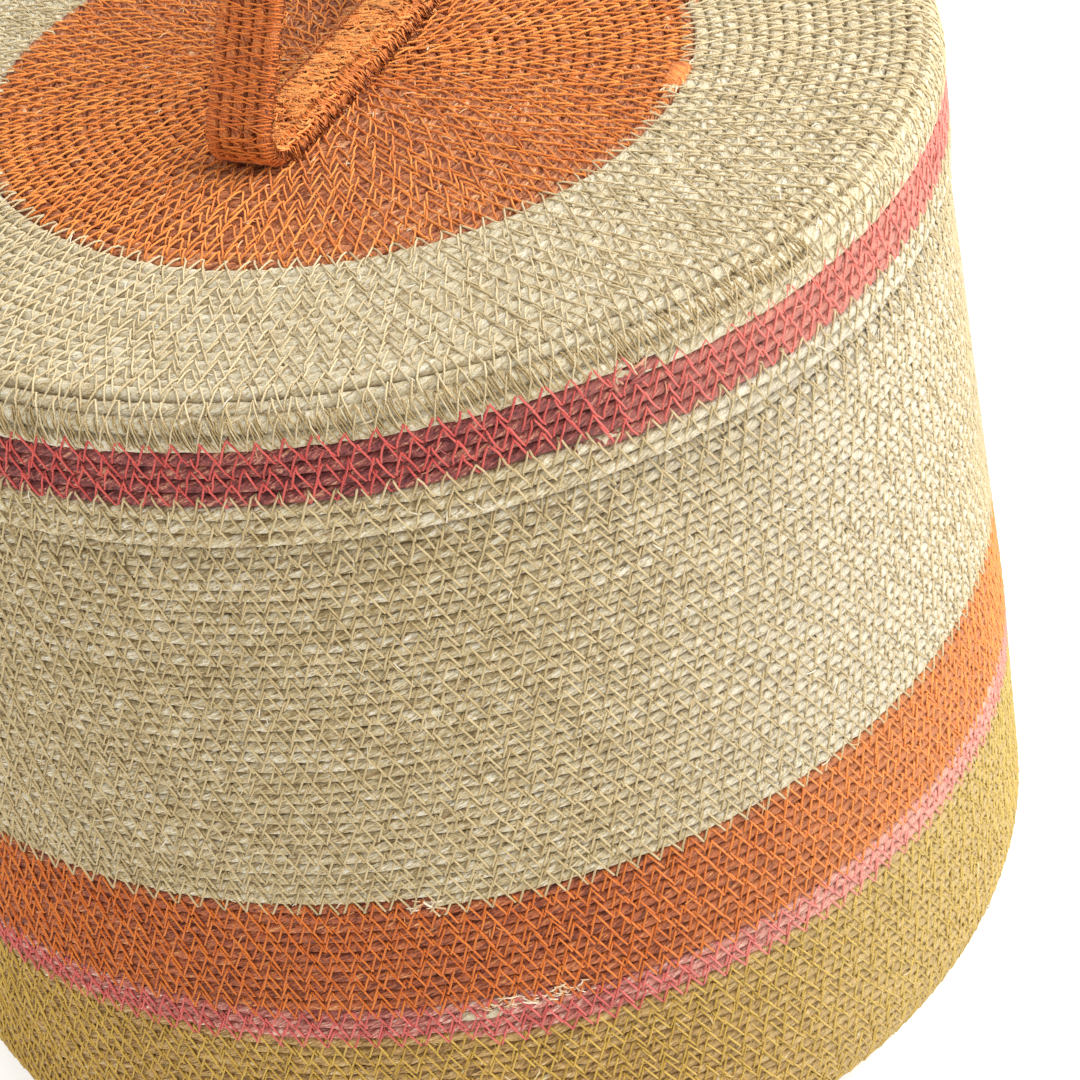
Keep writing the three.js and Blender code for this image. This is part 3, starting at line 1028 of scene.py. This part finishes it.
# Painted light: the handle's rope is a brighter copy of the orange rope with less painted crevice shade, so
# the shadowed gaps between its threads show orange, not dark
handleFinish = ropeMaterial("handleRope", {
    **looks["orange"]["rope"], "base": (0.82, 0.47, 0.23), "dark": (0.56, 0.26, 0.11),
    "pale": (0.93, 0.62, 0.33), "streak": (0.42, 0.16, 0.06), "shadeColour": (0.50, 0.23, 0.09), "creviceShade": 0.35,
})
curlFinish = threadMaterial("curlyThread", {"base": (0.98, 0.67, 0.36), "dark": (0.90, 0.52, 0.23)})
handleRows = {**ropeRows, "ropeThick": handle["ropeThick"], "material": handleFinish}
handleStitch = {"ropeThick": handle["ropeThick"], "stitchLength": 2.7 * mm, "slant": 0.5, "reach": 0.95,
                "arch": 0.0, "threadThick": 0.62 * mm, "jitter": 0.3, "wander": 0.14, "drift": 9 * mm,
                "seamShift": 0.0, "material": threadFinish["orange"]}
curlyStitch = {**handleStitch, "stitchLength": 1.6 * mm, "reach": 0.55, "jitter": 2.0, "wander": 0.6,
               "arch": 0.4 * mm, "threadThick": 0.84 * mm, "material": curlFinish}
edgeStitch = {**handleStitch, "stitchLength": 1.15 * mm}
whipStitch = {**handleStitch, "stitchLength": 0.85 * mm, "threadThick": 0.74 * mm, "jitter": 0.9}
# Painted light: the foot cords take the brighter rope-end finish, so the shadowed gap under the whip stitches
# does not show dark
footCord = {**ropeRows, "rows": 1.0, "rowPitch": 2.8 * mm, "ropeThick": 3.6 * mm, "lift": 1.3 * mm,
            "material": endFinish}
footShare = (handleLength / 2 - handle["footRadius"]) / loopLength
handleRopeGrower = handleRopeTree()
zigzagGrower = handleZigzagTree()
edgeGrower = handleEdgeTree()
whipGrower = footWhipTree()

growHandle("Rope", handleRopeGrower, handleRows, -0.1, float(handle["rows"]))
for face, mirror, stitch in (("Outer", 1.0, handleStitch), ("Inner", -1.0, curlyStitch)):
    values = {**stitch, "mirror": mirror, "salt": 8000.0 + mirror}
    growHandle(face + "Threads", zigzagGrower, values, 0.0, handle["rows"] - 1.0)
for edge, mirror in (("Left", 1.0), ("Right", -1.0)):
    sided = {"mirror": mirror, "salt": 8100.0 + mirror, "side": mirror * (handleWidth / 2 - 0.1 * mm)}
    growHandle("Edge" + edge, edgeGrower, {**edgeStitch, **sided}, 0.0, 1.0)
    growHandle("Whip" + edge, whipGrower, {**whipStitch, **sided}, -footShare, footShare)
    growHandle("FootCord" + edge, handleRopeGrower, {**footCord, **sided}, -footShare, footShare)
print("handle sewn")


# Stage, light and camera

def seenRays(tree):
    # 1 where the camera looks, also by way of a mirror or through glass, and 0 for all other light
    rays = tree.nodes.new("ShaderNodeLightPath")
    direct, mirrored, through = (Wire(tree, rays.outputs["Is " + kind + " Ray"])
                                 for kind in ("Camera", "Glossy", "Transmission"))
    return clamped(direct + mirrored + through, 0.0, 1.0)


light = {
    "aim": (0, 0, 0.2),
    "key": {"location": (0.56, -1.17, 1.35), "power": 48, "width": 1.9},
    "fill": {"location": (-1.58, 0.34, 0.9), "power": 5, "width": 1.4},
    "world": 0.79,
    "worldTint": (1.0, 0.985, 0.955),
}
for role in ("key", "fill"):
    settings = light[role]
    lampData = bpy.data.lights.new(role, "AREA")
    lampData.shape = "SQUARE"
    lampData.size = settings["width"]
    lampData.energy = settings["power"]
    lamp = newObject(role, lampData)
    lamp.location = settings["location"]
    towards = Vector(light["aim"]) - Vector(settings["location"])
    lamp.rotation_euler = towards.to_track_quat("-Z", "Y").to_euler()

world = bpy.data.worlds.new("studio")
world.use_nodes = True
bpy.context.scene.world = world
background = world.node_tree.nodes["Background"]
seen = seenRays(world.node_tree)
feed(background.inputs["Strength"], seen * (1.0 - light["world"]) + light["world"])
feed(background.inputs["Color"], mixColour(light["worldTint"], (1.0, 1.0, 1.0), seen))


def makeFloor():
    reach = 30.0
    glow = 0.45
    corners = [(-reach, -reach, 0), (reach, -reach, 0), (reach, reach, 0), (-reach, reach, 0)]
    mesh = bpy.data.meshes.new("floor")
    mesh.from_pydata(corners, [], [(0, 1, 2, 3)])
    floor = newObject("floor", mesh)
    material, tree, shader = newMaterial("floorPaint", {"Roughness": 0.9, "Emission Color": (1, 1, 1, 1)})
    noise = smoothNoise(*objectPlace(tree), 2.0)
    shade = mixColour((0.90, 0.90, 0.90), (0.93, 0.93, 0.93), ramp(noise, -1.0, 1.0))
    feed(shader.inputs["Base Color"], shade)
    feed(shader.inputs["Emission Strength"], seenRays(tree) * glow)
    mesh.materials.append(material)


makeFloor()

view = {
    "location": (-0.8511, -0.5485, 0.8471),
    "aim": (-0.1507, -0.1299, 0.2690),
    "roll": -9.915,
    "lens": 129.7,
    "sensor": 36.0,
}
cameraData = bpy.data.cameras.new("camera")
cameraData.lens = view["lens"]
cameraData.sensor_width = view["sensor"]
camera = newObject("camera", cameraData)
forward = (Vector(view["aim"]) - Vector(view["location"])).normalized()
level = forward.cross(Vector((0, 0, 1))).normalized()
right = Matrix.Rotation(math.radians(view["roll"]), 3, -forward) @ level
axes = Matrix((right, right.cross(forward), -forward)).transposed()
camera.matrix_world = Matrix.Translation(view["location"]) @ axes.to_4x4()
bpy.context.scene.camera = camera
bpy.context.scene.view_settings.view_transform = "Standard"

for helper in (basketCurve, lidCurve, handleCurve, sectionCurve, fibreCurve):
    bpy.data.objects.remove(helper)

print("scene done")
